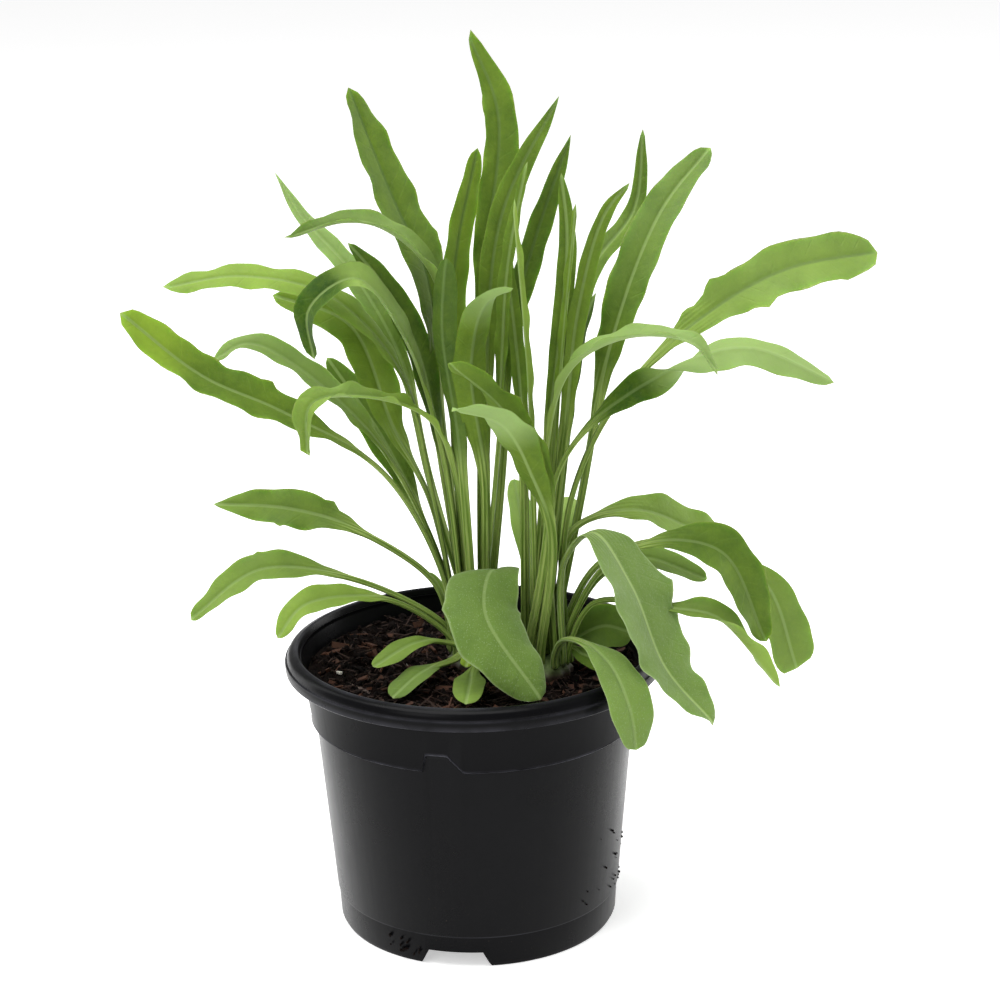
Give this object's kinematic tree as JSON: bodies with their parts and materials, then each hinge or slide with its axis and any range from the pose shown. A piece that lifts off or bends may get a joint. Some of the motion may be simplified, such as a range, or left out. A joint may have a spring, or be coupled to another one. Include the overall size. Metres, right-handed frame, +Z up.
{
  "type": "potted cornflower",
  "caption": "Leafy young cornflower plant growing in a round black plastic nursery pot; a free-standing decorative potted plant.",
  "frame": {"origin": "the pot's axis on the surface that the pot stands on, at the middle of the flat boss under its floor", "axes": "+Z up along the pot's axis, -Y towards the front, +X to the right seen from the front"},
  "size_m": [0.2492, 0.13, 0.3043],
  "materials": {
    "pot": "satin",
    "soil": "matte",
    "crown": "satin",
    "leaf": "satin"
  },
  "bodies": {
    "root": {"crown_a": "crown", "crown_b": "crown", "leaf_arch_left": "leaf", "leaf_arch_right": "leaf", "leaf_back_left": "leaf", "leaf_back_right": "leaf", "leaf_back_upright": "leaf", "leaf_blunt_left": "leaf", "leaf_bowed_left": "leaf", "leaf_broad_left": "leaf", "leaf_bud_side": "leaf", "leaf_bud_tip": "leaf", "leaf_curled_right": "leaf", "leaf_dark_left": "leaf", "leaf_dark_low_right": "leaf", "leaf_dark_right": "leaf", "leaf_drooping_left": "leaf", "leaf_folded_left": "leaf", "leaf_front_bent": "leaf", "leaf_front_bright": "leaf", "leaf_front_broad": "leaf", "leaf_front_right": "leaf", "leaf_front_rolled": "leaf", "leaf_hidden_tip": "leaf", "leaf_hook_left": "leaf", "leaf_hooked_right": "leaf", "leaf_inner_low_right": "leaf", "leaf_level_left": "leaf", "leaf_lip_left": "leaf", "leaf_long_left": "leaf", "leaf_low_left": "leaf", "leaf_oval_right": "leaf", "leaf_pale_back": "leaf", "leaf_pale_side": "leaf", "leaf_pointed": "leaf", "leaf_rim_right": "leaf", "leaf_round_low": "leaf", "leaf_round_right": "leaf", "leaf_second": "leaf", "leaf_sickle_right": "leaf", "leaf_slim": "leaf", "leaf_small_left": "leaf", "leaf_soil_dark": "leaf", "leaf_soil_front": "leaf", "leaf_soil_left": "leaf", "leaf_tall_left": "leaf", "leaf_tall_right": "leaf", "leaf_tallest": "leaf", "leaf_thin_left": "leaf", "leaf_twisted_right": "leaf", "leaf_wing_right": "leaf", "leaf_yellow_bud": "leaf", "leaf_yellow_green": "leaf", "pot": "pot", "soil": "soil"}
  },
  "joints": []
}
